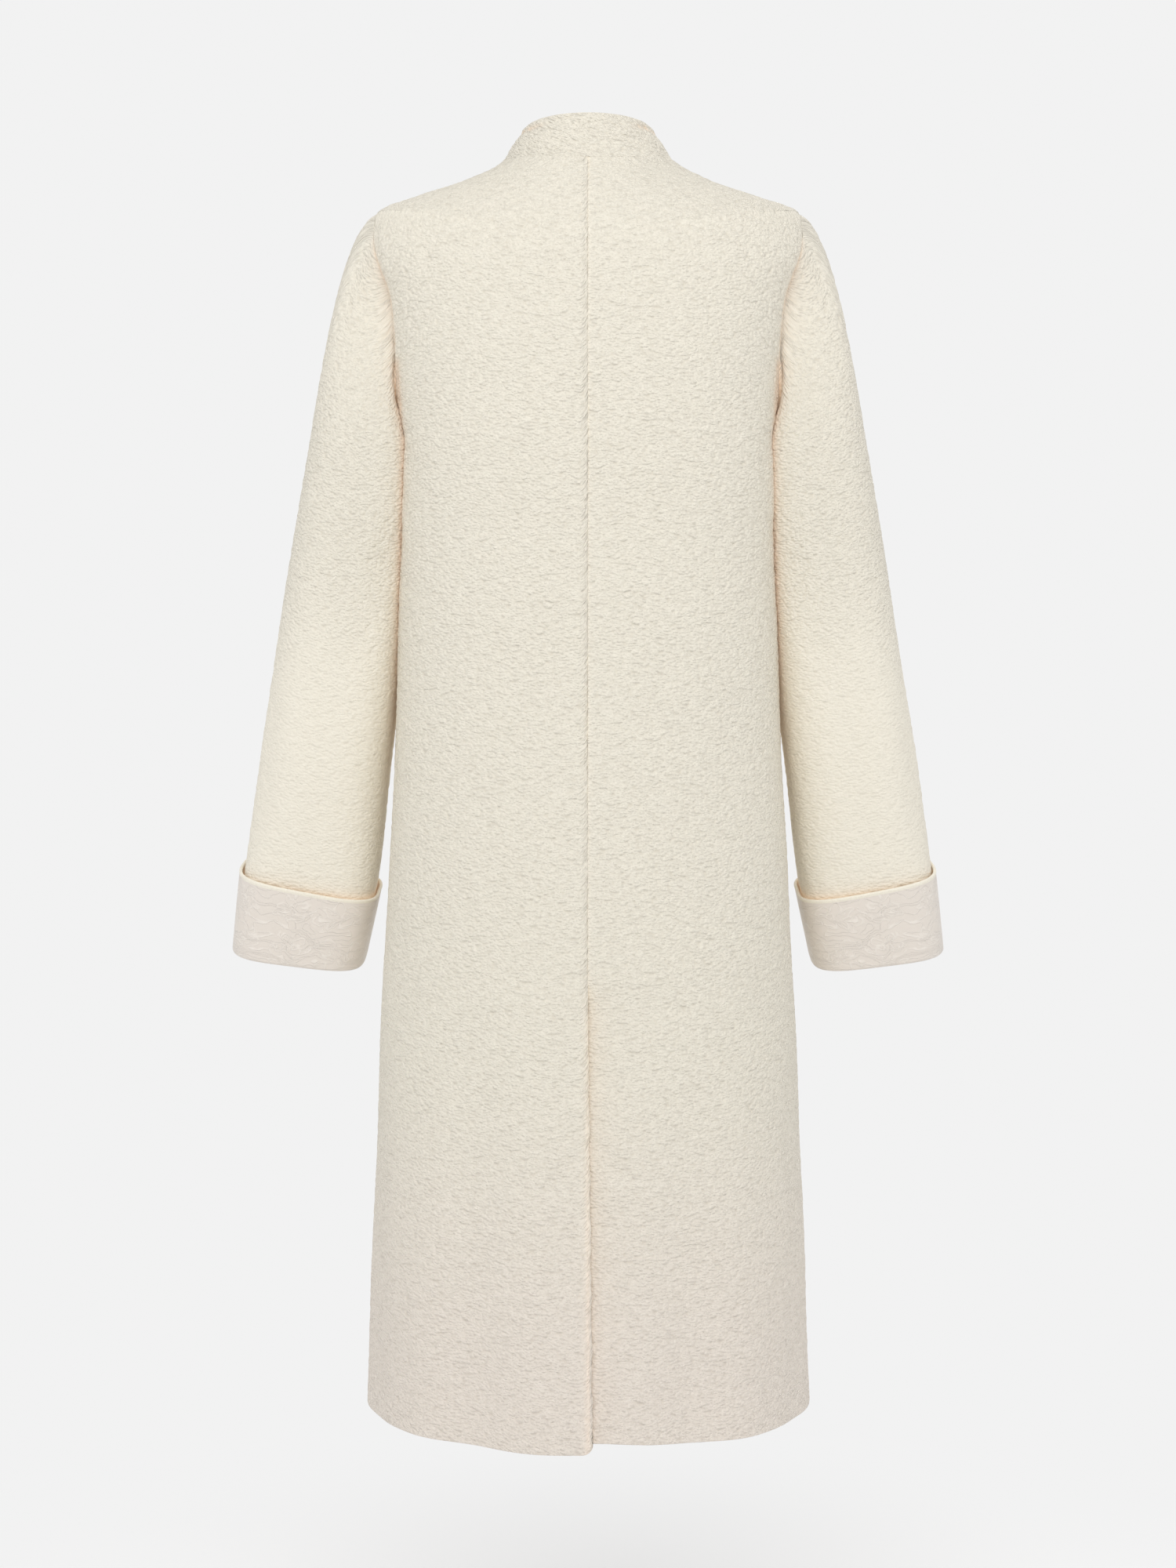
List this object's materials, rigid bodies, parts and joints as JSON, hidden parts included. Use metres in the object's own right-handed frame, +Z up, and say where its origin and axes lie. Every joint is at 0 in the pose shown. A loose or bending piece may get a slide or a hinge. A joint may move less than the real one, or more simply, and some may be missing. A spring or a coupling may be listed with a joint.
{
  "type": "long blazer",
  "caption": "Long straight wool blazer with a stand collar, set-in sleeves, wide turned-back satin cuffs and a vent at the centre back, filled out and hollow.",
  "frame": {"origin": "the middle of the neck base, level with the side neck points, where the shoulders carry the garment", "axes": "+Z up, -Y towards the wearer's front, +X towards the wearer's left"},
  "size_m": [0.649, 0.3295, 1.137],
  "materials": {
    "pebbled_wool": "matt pebbled wool boucle",
    "ivory_satin": "jacquard satin with a soft sheen"
  },
  "bodies": {
    "root": {"back_left": "pebbled_wool", "back_right": "pebbled_wool", "front_left": "pebbled_wool", "front_right": "pebbled_wool", "collar": "pebbled_wool", "sleeve_left": "pebbled_wool", "sleeve_right": "pebbled_wool", "cuff_left": "ivory_satin", "cuff_right": "ivory_satin"}
  },
  "joints": []
}
